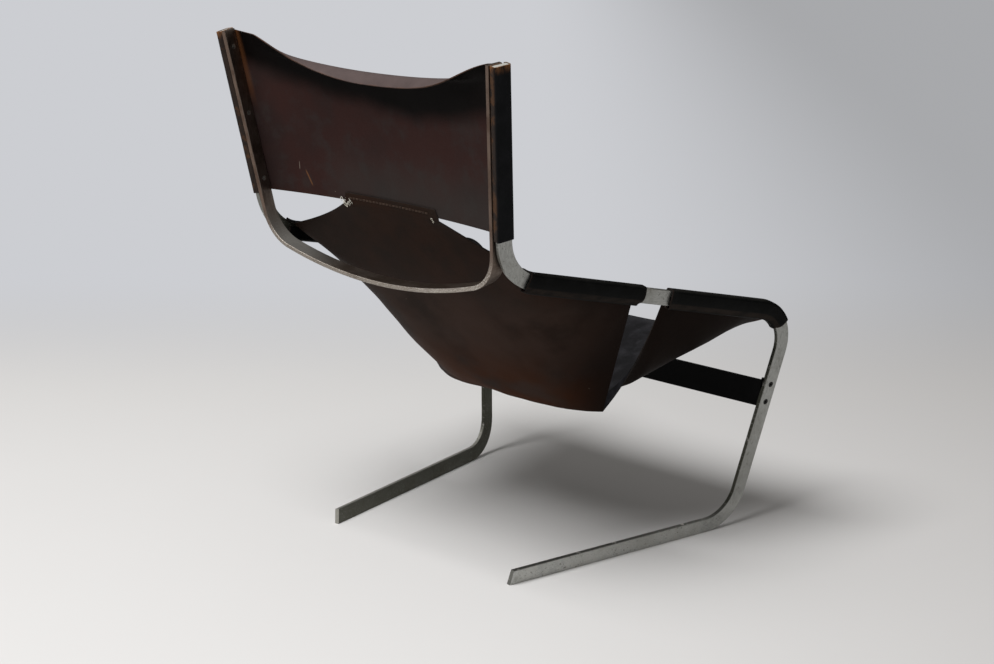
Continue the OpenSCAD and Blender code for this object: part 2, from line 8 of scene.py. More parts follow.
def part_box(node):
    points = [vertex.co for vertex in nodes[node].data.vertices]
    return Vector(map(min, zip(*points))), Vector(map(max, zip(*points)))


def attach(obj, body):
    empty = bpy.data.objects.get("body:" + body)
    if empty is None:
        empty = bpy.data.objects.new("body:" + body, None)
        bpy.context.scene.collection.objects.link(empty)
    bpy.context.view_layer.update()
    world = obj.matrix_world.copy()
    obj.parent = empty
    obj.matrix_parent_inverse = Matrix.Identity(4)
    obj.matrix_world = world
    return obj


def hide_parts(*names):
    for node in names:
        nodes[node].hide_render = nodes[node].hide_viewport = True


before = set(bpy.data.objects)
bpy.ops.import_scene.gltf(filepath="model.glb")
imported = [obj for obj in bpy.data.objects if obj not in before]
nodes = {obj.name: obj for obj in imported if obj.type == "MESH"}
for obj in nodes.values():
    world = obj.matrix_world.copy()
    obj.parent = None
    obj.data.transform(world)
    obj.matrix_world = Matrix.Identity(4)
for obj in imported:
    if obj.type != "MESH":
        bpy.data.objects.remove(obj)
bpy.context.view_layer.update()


# Side frames.
# Two bars of satin stainless steel, each bent edgewise into floor runner, leg, seat rail and
# upright. They toe in towards the back and lean outward. They were brushed along their
# length, and floors, hands and years have scratched and dulled them.
bar_w, bar_t = 0.028, 0.009
lean_out, toe_in = radians(8.3), radians(10.3)
frame_half = 0.267
ground_cut = bar_t / 2 * sin(lean_out)
leg_run, rail_run, upright_run = (
    Vector(run) for run in ((-0.086, 0.413), (0.677, 0.164), (0.047, 0.369)))
foot_corner = Vector((-0.3015, bar_w / 2))
knee_corner = foot_corner + leg_run
rear_corner = knee_corner + rail_run
top_corner = rear_corner + upright_run
knee_bend_r, rear_bend_r = 0.080, 0.095


class Wire:
    """A socket of a finish. Arithmetic on it adds Math nodes."""

    def __init__(self, tree, socket):
        self.tree, self.socket = tree, socket

    def node(self, kind, sockets=(), out=0, **settings):
        """Adds a node: its settings first, then the values and links of its sockets."""
        made = self.tree.nodes.new(kind)
        for name, value in settings.items():
            setattr(made, name, value)
        for key, value in dict(sockets).items():
            if isinstance(value, Wire):
                self.tree.links.new(value.socket, made.inputs[key])
            else:
                made.inputs[key].default_value = value
        return Wire(self.tree, made.outputs[out])

    def maths(self, operation, other=0.0):
        return self.node("ShaderNodeMath", {0: self, 1: other}, operation=operation)

    def __add__(self, other):
        return self.maths("ADD", other)

    def __sub__(self, other):
        return self.maths("SUBTRACT", other)

    def __rsub__(self, other):
        return self.node("ShaderNodeMath", {0: other, 1: self}, operation="SUBTRACT")

    def __mul__(self, other):
        return self.maths("MULTIPLY", other)

    __radd__, __rmul__ = __add__, __mul__

    def __abs__(self):
        return self.maths("ABSOLUTE")

    def fade(self, low, high):
        """0 below low, 1 above high and smooth between them."""
        return self.node("ShaderNodeMapRange", {0: self, 1: low, 2: high},
                         interpolation_type="SMOOTHSTEP")

    def band(self, low, rise, fall, high):
        """1 from rise to fall, and fading to 0 at low and at high."""
        return self.fade(low, rise) * (1 - self.fade(fall, high))

    def stretched(self, x, y, z):
        return self.node("ShaderNodeVectorMath", {0: self, 1: (x, y, z)}, operation="MULTIPLY")

    def turned(self, angle, axis="X_AXIS"):
        return self.node("ShaderNodeVectorRotate", {"Vector": self, "Angle": angle},
                         rotation_type=axis)

    def axis(self, index):
        return self.node("ShaderNodeSeparateXYZ", {0: self}, out=index)

    def cloud(self, scale, detail=2.0, roughness=0.5):
        return self.node("ShaderNodeTexNoise", {"Vector": self, "Scale": scale,
                                                "Detail": detail, "Roughness": roughness})

    def cells(self, scale, out="Distance"):
        return self.node("ShaderNodeTexVoronoi", {"Vector": self, "Scale": scale}, out=out)

    def colour(self, a, b):
        """Colour a where this mask is 0 and colour b where it is 1."""
        a, b = (c if isinstance(c, Wire) else (*c, 1.0) for c in (a, b))
        return self.node("ShaderNodeMix", {0: self, 6: a, 7: b}, out=2, data_type="RGBA")

    def bumped(self, height):
        """A normal raised by this wire, where 1 stands for this height in metres."""
        return self.node("ShaderNodeBump", {"Height": self, "Distance": height})


class Finish:
    """One material: its shader, and the wires that its patterns start from."""

    def __init__(self, name, **constants):
        self.material = bpy.data.materials.new(name)
        self.material.use_nodes = True
        self.tree = self.material.node_tree
        self.shader = self.tree.nodes["Principled BSDF"]
        for socket, value in constants.items():
            self.shader.inputs[socket.replace("_", " ")].default_value = value
        self.start = Wire(self.tree, None)
        self.place = self.start.node("ShaderNodeTexCoord", out="Object")
        self.facing = self.start.node("ShaderNodeNewGeometry", out="Normal")

    def measure(self, name):
        """A measure that the mesh carries, such as the distance to an edge."""
        return self.start.node("ShaderNodeAttribute", out="Fac", attribute_name=name)

    def feed(self, **wires):
        """Links wires to the shader's sockets of the same names."""
        for socket, wire in wires.items():
            self.tree.links.new(wire.socket, self.shader.inputs[socket.replace("_", " ")])
        return self.material


def brushed(place, turn):
    """Fine streaks along a stretch of bar that this turn about X lays level."""
    return place.turned(turn).stretched(900, 14, 900).cloud(1.0, 3.0, 0.6)


def frame_finish():
    """Brushed steel, with painted dark reflections inside and painted highlights on edges and ends.
    """
    finish = Finish("side_frame_steel", Metallic=1.0)
    place = finish.place
    sideways, rearward, height = (place.axis(i) for i in range(3))
    leg_turn, rail_turn, upright_turn = radians(-101.8), radians(-13.6), radians(-82.7)
    leg = height.band(0.02, 0.06, 0.36, 0.42) * (1 - rearward.fade(-0.27, -0.23))
    upright = height.fade(0.52, 0.56) * rearward.fade(0.24, 0.27)
    runner = 1 - height.fade(0.03, 0.07)
    rail = (1 - leg) * (1 - upright) * (1 - runner)
    streaks = leg * brushed(place, leg_turn) + upright * brushed(place, upright_turn) \
        + rail * brushed(place, rail_turn) + runner * brushed(place, 0.0)
    outward = finish.facing.axis(0) * sideways.maths("SIGN")
    inner = (0 - outward).fade(0.3, 0.8)
    edgewise = 1 - abs(outward).fade(0.3, 0.8)
    clouds = place.cloud(14.0, 4.0, 0.62)
    smears = place.cloud(38.0, 4.0, 0.7)
    pits = place.cloud(230.0, 2.0).fade(0.63, 0.70)
    scratches = place.turned(0.7).stretched(60, 900, 700).cloud(1.0, 1.0).fade(0.66, 0.74)
    colour = streaks.fade(0.3, 0.7).colour((0.30, 0.305, 0.29), (0.45, 0.455, 0.435))
    colour = (runner * clouds.fade(0.35, 0.60) * 0.5).colour(colour, (0.62, 0.62, 0.59))
    colour = (clouds.fade(0.45, 0.62) * 0.4).colour(colour, (0.27, 0.265, 0.24))
    colour = (smears.fade(0.58, 0.70) * 0.4).colour(colour, (0.15, 0.145, 0.12))
    # Painted dark reflection: the inner faces are darkened to stand for the shaded floor they
    # mirror.
    colour = (inner * (0.75 + clouds * 0.25)).colour(colour, (0.070, 0.070, 0.050))
    colour = (edgewise * (0.55 + leg * 0.4)).colour(colour, (0.060, 0.060, 0.045))
    # Light streaks on the narrow faces: partly wear, partly a painted highlight along the edges.
    rubbed = edgewise * smears.fade(0.58, 0.66) * (1 - leg * 0.7)
    colour = rubbed.colour(colour, (0.75, 0.74, 0.69))
    # Painted highlight along the top edge of the far runner.
    far_runner_highlight = edgewise * runner * sideways.fade(0.0, 0.1)
    colour = (far_runner_highlight * (0.5 + smears * 0.4)).colour(colour, (0.62, 0.61, 0.55))
    colour = (pits * 0.6).colour(colour, (0.10, 0.095, 0.08))
    colour = (scratches * 0.5).colour(colour, (0.80, 0.80, 0.77))
    # The bars' top ends: pale sawn steel, with a painted highlight on them.
    bar_end = finish.facing.axis(2).fade(0.7, 0.9) * height.fade(0.90, 0.92)
    colour = bar_end.colour(colour, (0.62, 0.61, 0.57))
    rough = 0.30 + streaks * 0.12 + clouds * 0.14 + inner * 0.1 + bar_end * 0.2
    normal = (streaks * 0.6 + scratches * 0.5 + smears * 0.6 - pits * 0.8).bumped(0.00008)
    return finish.feed(Base_Color=colour, Roughness=rough, Normal=normal)


def finish_node(name, material):
    """Gives a kept CAD node its material."""
    for slot in nodes[name].material_slots:
        slot.material = material


frame_steel = frame_finish()
finish_node("side_frame_left", frame_steel)
finish_node("side_frame_right", frame_steel)


# Back hoop.
# One flat bar of the same steel, bent flatwise into a U. Its arms lie inside the uprights,
# screwed through the leather into them, and its lower sweep crosses behind the seat. Its
# sawn rear edge is tanned by wear and by the leather's dye.
hoop_w, hoop_t, hoop_back = 0.028, 0.008, 0.0045


def hoop_finish():
    """Steel stained brown, paler on the low sweep, with painted glints along its sawn rear edge."""
    finish = Finish("hoop_steel", Metallic=1.0)
    place = finish.place
    streaks = place.stretched(40, 900, 40).cloud(1.0, 3.0, 0.6)
    clouds = place.cloud(22.0, 4.0, 0.6)
    saw_marks = place.stretched(1, 0.1, 1).cloud(900.0, 2.0, 0.7)
    sawn = finish.facing.axis(1).fade(0.55, 0.85)
    low = 1 - place.axis(2).fade(0.56, 0.64)
    far_bend = place.axis(0).fade(0.08, 0.22)
    colour = streaks.fade(0.3, 0.7).colour((0.155, 0.115, 0.092), (0.25, 0.21, 0.18))
    colour = (clouds.fade(0.42, 0.62) * 0.8).colour(colour, (0.10, 0.072, 0.055))
    colour = (low * far_bend * 0.7).colour(colour, (0.36, 0.36, 0.34))
    worn = clouds.fade(0.35, 0.6).colour((0.12, 0.078, 0.058), (0.20, 0.145, 0.115))
    bare = clouds.fade(0.3, 0.6).colour((0.180, 0.145, 0.115), (0.30, 0.26, 0.22))
    worn = low.colour(worn, bare)
    near_bend = 1 - place.axis(0).fade(-0.16, -0.02)
    # Painted glints along the sawn rear edge, strongest near the near bend.
    painted_glints = saw_marks.fade(0.50, 0.60) * low * (0.5 + near_bend * 0.45)
    worn = painted_glints.colour(worn, (0.86, 0.83, 0.78))
    colour = (sawn * 0.95).colour(colour, worn)
    rough = 0.34 + clouds * 0.14 + sawn * 0.16
    normal = (streaks + saw_marks * sawn * 2 + clouds).bumped(0.00008)
    return finish.feed(Base_Color=colour, Roughness=rough, Normal=normal)


finish_node("back_hoop", hoop_finish())


# Front crossbar.
# A flat bar painted satin black, with its ends bent back against the legs' inner faces. It
# keeps the two frames apart. The paint is dusty and rubbed through along its long edges.
cross_low, cross_high = (corner[2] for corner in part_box("front_crossbar"))
bare_w = 0.002


def crossbar_finish():
    """Black paint with dust in it, rubbed to grey along the bar's top and bottom edges."""
    finish = Finish("crossbar_paint", Specular_IOR_Level=0.04)
    place = finish.place
    peel = place.cloud(420.0, 2.0)
    dust = place.cloud(26.0, 5.0, 0.65)
    edge = 1 - place.axis(2).band(cross_low, cross_low + bare_w, cross_high - bare_w, cross_high)
    rubbed = edge * place.cloud(90.0, 3.0, 0.6).fade(0.42, 0.56)
    colour = dust.fade(0.35, 0.75).colour((0.0012, 0.0012, 0.0012), (0.0035, 0.0035, 0.0038))
    colour = (rubbed * 0.7).colour(colour, (0.13, 0.125, 0.115))
    rough = 0.38 + dust * 0.2
    return finish.feed(Base_Color=colour, Roughness=rough, Normal=(peel + dust).bumped(0.00005))


finish_node("front_crossbar", crossbar_finish())


# Screws.
# Countersunk screws with hexagon sockets. Two go through each leg into the crossbar's
# flanges, blackened with grime, and three go through each arm of the hoop into the upright,
# rubbed bright on their rims.
def screw_finish(name, deep, bright):
    """Turned steel, from its grimy hollows to its rubbed rims."""
    finish = Finish(name, Metallic=1.0)
    grime = finish.place.cloud(700.0, 3.0, 0.6)
    colour = grime.fade(0.4, 0.65).colour(deep, bright)
    return finish.feed(Base_Color=colour, Roughness=0.32 + grime * 0.3,
                       Normal=grime.bumped(0.00006))


finish_node("crossbar_screws", screw_finish("crossbar_screw_steel", (0.01, 0.01, 0.01),
                                            (0.05, 0.05, 0.048)))
clamp_steel = screw_finish("clamp_screw_steel", (0.16, 0.155, 0.14), (0.55, 0.54, 0.5))
finish_node("clamp_screws_left", clamp_steel)
finish_node("clamp_screws_right", clamp_steel)


# Back panel.
# The back is one saddle hide, black on its face and red-brown on its flesh side. It spans the
# uprights in front of the hoop. Its upper margin has curled over backward with age, and the
# seat is sewn to its lower edge.
hide_t, ease, edge_round = 0.0026, 0.0003, 0.0007
wrap_len = 0.301
back_sag, sag_power = 0.022, 1.5
back_swell_top, back_swell_low = 0.0125, 0.022
lip_len, lip_bend_share = 0.034, 0.4
lip_bend, lip_roll = radians(125), radians(147)
least_bend, least_roll = 0.012, 0.017
lip_half, lip_power = (0.90, 0.86), (3.2, 1.5)
lip_lines, panel_lines, panel_columns = 22, 44, 96
panel_dent, panel_dent_size = 0.0018, 0.085


def in_chair(n, spot, side=1):
    """A point of a frame's plane in the chair's axes: n outward, spot rearward and upward."""
    x = n * cos(lean_out) + spot.y * sin(lean_out)
    z = spot.y * cos(lean_out) - n * sin(lean_out)
    return Vector((side * (frame_half + x * cos(toe_in) - spot.x * sin(toe_in)),
                   x * sin(toe_in) + spot.x * cos(toe_in), z - ground_cut))


def mix(a, b, t):
    """a where t is 0, b where it is 1, and in proportion between them."""
    return a + (b - a) * t


def smooth(t):
    """0 below 0, 1 above 1 and smooth between them."""
    t = min(1, max(0, t))
    return t * t * (3 - 2 * t)


upright_dir = (top_corner - rear_corner).normalized()
upright_back = Vector((upright_dir.y, -upright_dir.x))
arm_dir = in_chair(0, upright_dir) - in_chair(0, Vector((0, 0)))
plane_up = Vector((0, arm_dir.y, arm_dir.z)).normalized()
plane_back = Vector((0, plane_up.z, -plane_up.y))
panel_edge_n = -(bar_t / 2 + ease + hide_t + ease)
panel_edge_back = hoop_back - hoop_w / 2 - hoop_t * sin(toe_in) - ease - hide_t / 2
panel_top_drop = lip_len + 0.002


def upright_at(drop):
    """A point of the upright's middle line, so far below its top end."""
    return top_corner - upright_dir * drop


def panel_edge(drop):
    """A point of the panel's left edge, so far below the upright's top end."""
    return in_chair(panel_edge_n, upright_at(drop) + upright_back * panel_edge_back)


def bow(mid, edge, v, power=2):
    """A point of a row of hide: v is -1 and 1 at the row's ends and 0 at its middle."""
    h = abs(v) ** power
    return Vector((edge.x * v, mix(mid.y, edge.y, h), mix(mid.z, edge.z, h)))


def panel_drop(t):
    return mix(panel_top_drop, wrap_len, t)


def panel_mid(t):
    edge = panel_edge(panel_drop(t))
    return Vector((0, edge.y, edge.z)) - plane_back * mix(back_swell_top, back_swell_low, t) \
        - plane_up * back_sag * max(0, 1 - t) ** sag_power


def panel_point(t, v):
    return bow(panel_mid(t), panel_edge(panel_drop(t)), v)


def lip_fade(v):
    """How far the margin has curled: 1 at its middle, and 0 near its right and left ends."""
    i = 0 if v < 0 else 1
    return 1 - min(1, abs(v) / lip_half[i]) ** lip_power[i]


def lip_point(a, v):
    """A point of the curled margin: a is 0 where it leaves the panel and 1 at its cut edge."""
    bend, roll = max(least_bend, lip_bend * lip_fade(v)), max(least_roll, lip_roll * lip_fade(v))
    r1, r2 = lip_len * lip_bend_share / bend, lip_len * (1 - lip_bend_share) / (roll - bend)
    c = bend * min(a, lip_bend_share) / lip_bend_share
    d = mix(bend, roll, max(0, a - lip_bend_share) / (1 - lip_bend_share))
    up = r1 * sin(c) + r2 * (sin(d) - sin(bend))
    back = r1 * (1 - cos(c)) + r2 * (cos(bend) - cos(d))
    return panel_point(0, v) + plane_up * up + plane_back * back


def swelling(point, size, seed):
    """A soft dent or bulge of old hide, between -1 and 1."""
    return noise.noise(point / size + Vector((seed, 3.1, 7.7)))


def across(columns):
    """Places along a row of hide, from -1 at its right end to 1 at its left end."""
    return [2 * j / columns - 1 for j in range(columns + 1)]


def running(line):
    """How far each point of a line is from its first point, along the line."""
    runs = [0.0]
    for a, b in zip(line, line[1:]):
        runs.append(runs[-1] + (b - a).length)
    return runs


def edge_gaps(line):
    """How far each point of a line is from the nearer end."""
    runs = running(line)
    return [min(run, runs[-1] - run) for run in runs]


def keep_measure(mesh, name, values):
    """Stores a number for each point, for the finishes to read."""
    mesh.attributes.new(name, "FLOAT", "POINT").data.foreach_set("value", values)


def add_object(name, data):
    """Puts new data into the scene as an object."""
    made = bpy.data.objects.new(name, data)
    bpy.context.scene.collection.objects.link(made)
    return made


def hide_piece(name, rows, skins, flat, flip=False):
    """A closed sheet of hide on rows of points, with a face, a flesh side and a cut edge.

    flip turns the face to the other side, for a piece that is mirrored.
    """
    count = len(rows[0])
    quads = [(i * count + j, (i + 1) * count + j, (i + 1) * count + j + 1, i * count + j + 1)
             for i in range(len(rows) - 1) for j in range(count - 1)]
    if flip:
        quads = [q[::-1] for q in quads]
    mesh = bpy.data.meshes.new(name)
    mesh.from_pydata([p for row in rows for p in row], [], quads)
    side_gaps = [edge_gaps(row) for row in rows]
    end_gaps = zip(*[edge_gaps(line) for line in zip(*rows)])
    keep_measure(mesh, "side_gap", [gap for row in side_gaps for gap in row])
    keep_measure(mesh, "end_gap", [gap for row in end_gaps for gap in row])
    for skin in skins:
        mesh.materials.append(skin)
    mesh.polygons.foreach_set("use_smooth", [True] * len(quads))
    piece = add_object(name, mesh)
    body = piece.modifiers.new("thickness", "SOLIDIFY")
    body.thickness, body.offset = hide_t, 0
    body.material_offset, body.material_offset_rim = 1, 2
    rim = piece.modifiers.new("rubbed edges", "BEVEL")
    rim.width, rim.segments = edge_round, 2
    rim.limit_method, rim.angle_limit = "ANGLE", radians(60)
    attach(piece, "root")
    return piece


def grained(place, pores, creases):
    """Height of the grain: pores between pebbles, and longer creases."""
    pebbles = place.cells(620.0).fade(0.0, 0.55)
    lines = place.stretched(1, 1, 0.35).cloud(70.0, 4.0, 0.6)
    return pebbles * pores + lines * creases


def scratch(place, middle, angle, length, width):
    """A straight scuff on hide that is seen along Y: its middle is (x, z)."""
    moved = place.node("ShaderNodeVectorMath", {0: place, 1: (middle[0], 0, middle[1])},
                       operation="SUBTRACT").turned(angle, "Y_AXIS")
    return (1 - abs(moved.axis(0)).fade(width / 2, width)) \
        * (1 - abs(moved.axis(2)).fade(length / 4, length / 2))


def specks(place, scale, radius, share):
    """Small round scuffs, one in some of the cells."""
    kept = place.node("ShaderNodeSeparateColor", {0: place.cells(scale, "Color")}, out=0)
    return (1 - place.cells(scale).fade(radius * scale * 0.5, radius * scale)) \
        * kept.fade(1 - share, 1 - share + 0.01)


def flesh_side(name, base, red, grey, edge_tan, marks=(), sheen=0.10):
    """The brown reverse of the hide, waxed smooth and stained by the steel and by hands."""
    finish = Finish(name, Specular_IOR_Level=sheen)
    place = finish.place
    broad = place.cloud(5.5, 3.0, 0.55)
    blotch = place.cloud(24.0, 4.0, 0.6)
    fine = place.cloud(260.0, 3.0, 0.6)
    colour = broad.fade(0.38, 0.62).colour(base, red)
    colour = (blotch.fade(0.45, 0.68) * 0.55).colour(colour, grey)
    colour = (fine * 0.35).colour(colour, [c * 0.55 for c in base])
    side = finish.measure("side_gap")
    end = finish.measure("end_gap")
    rubbed = (1 - side.fade(0.0, 0.010)) * 0.6 + (1 - end.fade(0.0, 0.006)) * 0.6
    rubbed = rubbed * place.cloud(45.0, 3.0).fade(0.3, 0.62)
    colour = rubbed.colour(colour, edge_tan)
    height = grained(place, 0.35, 0.8) + blotch * 1.5
    for mark, tint, strength in [m(place) for m in marks]:
        colour = (mark * strength).colour(colour, tint)
        height = height - mark * 0.6
    rough = 0.46 + blotch * 0.16 + fine * 0.08 - rubbed * 0.05
    return finish.feed(Base_Color=colour, Roughness=rough, Normal=height.bumped(0.00022))


def face_side(name, worn, worn_from, worn_to, edge_tan=(0.11, 0.055, 0.03),
              black=(0.003, 0.003, 0.0034)):
    """The black face of the hide, worn brown beside the first and last of its rows."""
    finish = Finish(name, Specular_IOR_Level=0.08)
    place = finish.place
    blotch = place.cloud(30.0, 4.0, 0.6)
    fine = place.cloud(300.0, 2.0)
    side = finish.measure("side_gap")
    end = finish.measure("end_gap")
    colour = blotch.fade(0.4, 0.7).colour(black, [c * 2.6 for c in black])
    rub = (1 - end.fade(worn_from, worn_to)) * (0.6 + blotch * 0.6)
    colour = rub.maths("MINIMUM", 1.0).colour(colour, worn)
    edges = ((1 - side.fade(0.0, 0.004)) * 0.5 + (1 - end.fade(0.0, 0.003)) * 0.4) \
        * place.cloud(60.0, 3.0).fade(0.35, 0.65)
    colour = edges.colour(colour, edge_tan)
    height = grained(place, 1.0, 0.9) + blotch * 0.8
    rough = 0.40 + blotch * 0.18 + fine * 0.08
    return finish.feed(Base_Color=colour, Roughness=rough, Normal=height.bumped(0.0002))


def cut_edge(name, tan, dark_below=None):
    """The raw cut edge of the hide, its fibres packed and stained, black below a height."""
    finish = Finish(name, Specular_IOR_Level=0.2)
    fibres = finish.place.cloud(900.0, 3.0, 0.7)
    stain = finish.place.cloud(30.0, 3.0)
    colour = fibres.fade(0.35, 0.7).colour([c * 0.45 for c in tan], tan)
    colour = stain.fade(0.45, 0.65).colour(colour, [c * 0.3 for c in tan])
    if dark_below:
        upper = finish.place.axis(2).fade(dark_below - 0.05, dark_below)
        colour = upper.colour((0.006, 0.005, 0.0045), colour)
    return finish.feed(Base_Color=colour, Roughness=0.65 + fibres * 0.25,
                       Normal=fibres.bumped(0.0002))


def shaded_top(place):
    """Painted shadow under the curled lip, most of it over the middle."""
    height = place.axis(2) - abs(place.axis(0) + 0.10) * 0.15 + place.cloud(9.0, 3.0) * 0.03
    return height.fade(0.822, 0.862), (0.0012, 0.0006, 0.0004), 0.97


def grey_low_sheen(place):
    """A painted sheen: the lower part of the back hide turned grey."""
    low = (1 - place.axis(2).fade(0.68, 0.78)) * (1 - place.axis(0).fade(0.08, 0.18))
    return low, (0.0350, 0.0315, 0.0290), 0.55


def beside_arm(place):
    """An orange-brown line beside the left arm of the hoop, where the hide has been creased."""
    height = place.axis(2)
    from_arm = place.axis(0) - (height - 0.90) * 0.16
    return from_arm.fade(0.308, 0.320) * height.fade(0.80, 0.87), (0.12, 0.045, 0.016), 0.5


panel_marks = (
    shaded_top,
    grey_low_sheen,
    beside_arm,
    lambda place: (scratch(place, (0.197, 0.690), radians(-24), 0.036, 0.0022),
                   (0.20, 0.085, 0.032), 0.5),
    lambda place: (scratch(place, (0.217, 0.711), radians(8), 0.018, 0.0011),
                   (0.26, 0.22, 0.18), 0.5),
    lambda place: (specks(place, 21.0, 0.0011, 0.22), (0.36, 0.30, 0.25), 0.7),
)
panel_flesh = flesh_side("back_flesh", (0.0240, 0.0145, 0.0135), (0.0350, 0.0145, 0.0125),
                         (0.0330, 0.0265, 0.0250), (0.060, 0.028, 0.016), panel_marks, 0.05)
panel_face = face_side("back_face", (0.085, 0.063, 0.060), 0.016, 0.050)
panel_cut = cut_edge("back_cut_edge", (0.075, 0.036, 0.022))

panel_rows = [[lip_point(1 - i / lip_lines, v) for v in across(panel_columns)]
              for i in range(lip_lines)]
for i in range(panel_lines + 1):
    t = i / panel_lines
    row = []
    for v in across(panel_columns):
        point = panel_point(t, v)
        free = smooth((1 - abs(v)) / 0.12) * smooth(t / 0.1) * smooth((1 - t) / 0.15)
        row.append(point + plane_back * free * panel_dent * swelling(point, panel_dent_size, 1.3))
    panel_rows.append(row)
back_panel = hide_piece("back_panel_hide", panel_rows, (panel_face, panel_flesh, panel_cut),
                        (0.58, 0.299))
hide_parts("back_panel")


# Upright wraps.
# The side margins of the same hide. Each goes round the front edge of its upright, over the
# outer face and back in behind, where the hoop's arm clamps it. Only the black face shows,
# rubbed to brown on the rear edge.
lay = ease + hide_t / 2
outer_n, outer_up = bar_t / 2 + lay, bar_w / 2 + lay
fold_r, girth_step, bend_steps = 0.0026, 0.0018, 6
wrap_over, wrap_lines, wrap_tuck = 0.0008, 75, -0.0075
clamp_n, front_n = -0.0062, -0.0054
wrap_puff, wrap_dent_size = 0.0004, 0.03
sides = (1, "left"), (-1, "right")


def rounded(corners, radii, step):
    """A path through corners, each rounded, as points about one step apart."""
    path = [corners[0]]
    for before, corner, after, r in zip(corners, corners[1:], corners[2:], radii):
        a, b = (before - corner).normalized(), (after - corner).normalized()
        start, end = corner + a * r, corner + b * r
        for t in (k / bend_steps for k in range(bend_steps + 1)):
            path.append(mix(mix(start, corner, t), mix(corner, end, t), t))
    path.append(corners[-1])
    runs = running(path)
    count = max(2, round(runs[-1] / step))
    points, k = [], 0
    for i in range(count + 1):
        run = runs[-1] * i / count
        while k < len(runs) - 2 and runs[k + 1] < run:
            k += 1
        points.append(mix(path[k], path[k + 1], (run - runs[k]) / (runs[k + 1] - runs[k])))
    return points


wrap_path = rounded([Vector(p) for p in (
    (panel_edge_n, panel_edge_back), (clamp_n, panel_edge_back - 0.0002), (front_n, -outer_up),
    (outer_n, -outer_up), (outer_n, outer_up), (-outer_n, outer_up), (-outer_n, wrap_tuck))],
    [0.0008, 0.0009, fold_r, fold_r, fold_r], girth_step)
wrap_flesh = flesh_side("wrap_flesh", (0.021, 0.0115, 0.0105), (0.032, 0.0115, 0.0095),
                        (0.030, 0.0235, 0.022), (0.024, 0.014, 0.010))
wrap_cut = cut_edge("wrap_cut_edge", (0.34, 0.19, 0.10), 0.91)


def wrap_face():
    """The black face, rubbed brown on the bar's rear edge and tan at the wrap's top."""
    finish = Finish("wrap_face", Specular_IOR_Level=0.08)
    place = finish.place
    blotch = place.cloud(40.0, 4.0, 0.6)
    girth = finish.measure("girth")
    rear = girth.band(0.0445, 0.0475, 0.0555, 0.0585)
    front = girth.band(0.004, 0.006, 0.013, 0.016)
    end = finish.measure("end_gap")
    colour = blotch.fade(0.4, 0.7).colour((0.0025, 0.003, 0.0038), (0.006, 0.0064, 0.0076))
    brown = place.stretched(1, 1, 0.25).cloud(120.0, 3.0, 0.6).fade(0.3, 0.6)
    colour = (rear * (0.55 + brown * 0.4)).colour(colour, (0.026, 0.0175, 0.0135))
    colour = (rear * blotch.fade(0.50, 0.62) * 0.6).colour(colour, (0.085, 0.040, 0.018))
    colour = (front * brown * 0.35).colour(colour, (0.10, 0.05, 0.028))
    top = (1 - end.fade(0.0, 0.016)) * place.axis(2).fade(0.85, 0.90)
    colour = (top * brown * 0.8).colour(colour, (0.20, 0.085, 0.032))
    height = grained(place, 1.0, 0.9) + blotch
    return finish.feed(Base_Color=colour, Roughness=0.40 + blotch * 0.2,
                       Normal=height.bumped(0.0002))


def outer_share(q):
    """1 where a turned hide lies on the bar's outer face, and 0 on the other faces."""
    return smooth((q.x - bar_t / 2) / 0.001)


wrap_skins = (wrap_face(), wrap_flesh, wrap_cut)
for side, word in sides:
    rows = []
    for i in range(wrap_lines + 1):
        drop = mix(-wrap_over, wrap_len, i / wrap_lines)
        row = []
        for q in wrap_path:
            spot = upright_at(drop) + upright_back * q.y
            dent = swelling(in_chair(q.x, spot, side), wrap_dent_size, 5.0 + side)
            puff = outer_share(q) * wrap_puff * (1 + dent)
            row.append(in_chair(q.x + puff, spot, side))
        rows.append(row)
    piece = hide_piece("upright_wrap_" + word + "_hide", rows, wrap_skins,
                       (0.094, 0.303), flip=side < 0)
    keep_measure(piece.data, "girth", running(wrap_path) * len(rows))
    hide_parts("upright_wrap_" + word)


# Seat sling.
# The seat is a second hide, face up. Its narrow top is lapped behind the back's lower edge
# and sewn there. It widens to the rails, dips between two side notches and rises again to
# the front edge.
def heading(run):
    """The angle at which a run climbs rearward."""
    return atan2(run.y, run.x)


rail_heading, rail_len = heading(rail_run), rail_run.length
bend_of_knee = heading(leg_run) - rail_heading
bend_of_rear = heading(upright_run) - rail_heading
rail_dir = (knee_corner - rear_corner).normalized()
rail_up = Vector((rail_dir.y, -rail_dir.x))
rear_arc, knee_arc = rear_bend_r * bend_of_rear, knee_bend_r * bend_of_knee
rear_tangent = rear_bend_r * tan(bend_of_rear / 2)
knee_tangent = rail_len - knee_bend_r * tan(bend_of_knee / 2)
rear_centre = rear_corner + rail_dir * rear_tangent + rail_up * rear_bend_r
knee_centre = rear_corner + rail_dir * knee_tangent - rail_up * knee_bend_r


def along(a):
    """The direction at this angle."""
    return Vector((cos(a), sin(a)))


def on_rail(s):
    """Place on the bar's middle line and its upward direction, s from the rear corner."""
    if s < rear_tangent:
        a = rail_heading + (rear_tangent - s) / rear_bend_r
        return rear_centre + along(a - pi / 2) * rear_bend_r, along(a + pi / 2)
    if s > knee_tangent:
        a = rail_heading + (s - knee_tangent) / knee_bend_r
        return knee_centre + along(a + pi / 2) * knee_bend_r, along(a + pi / 2)
    return rear_corner + rail_dir * s, rail_up


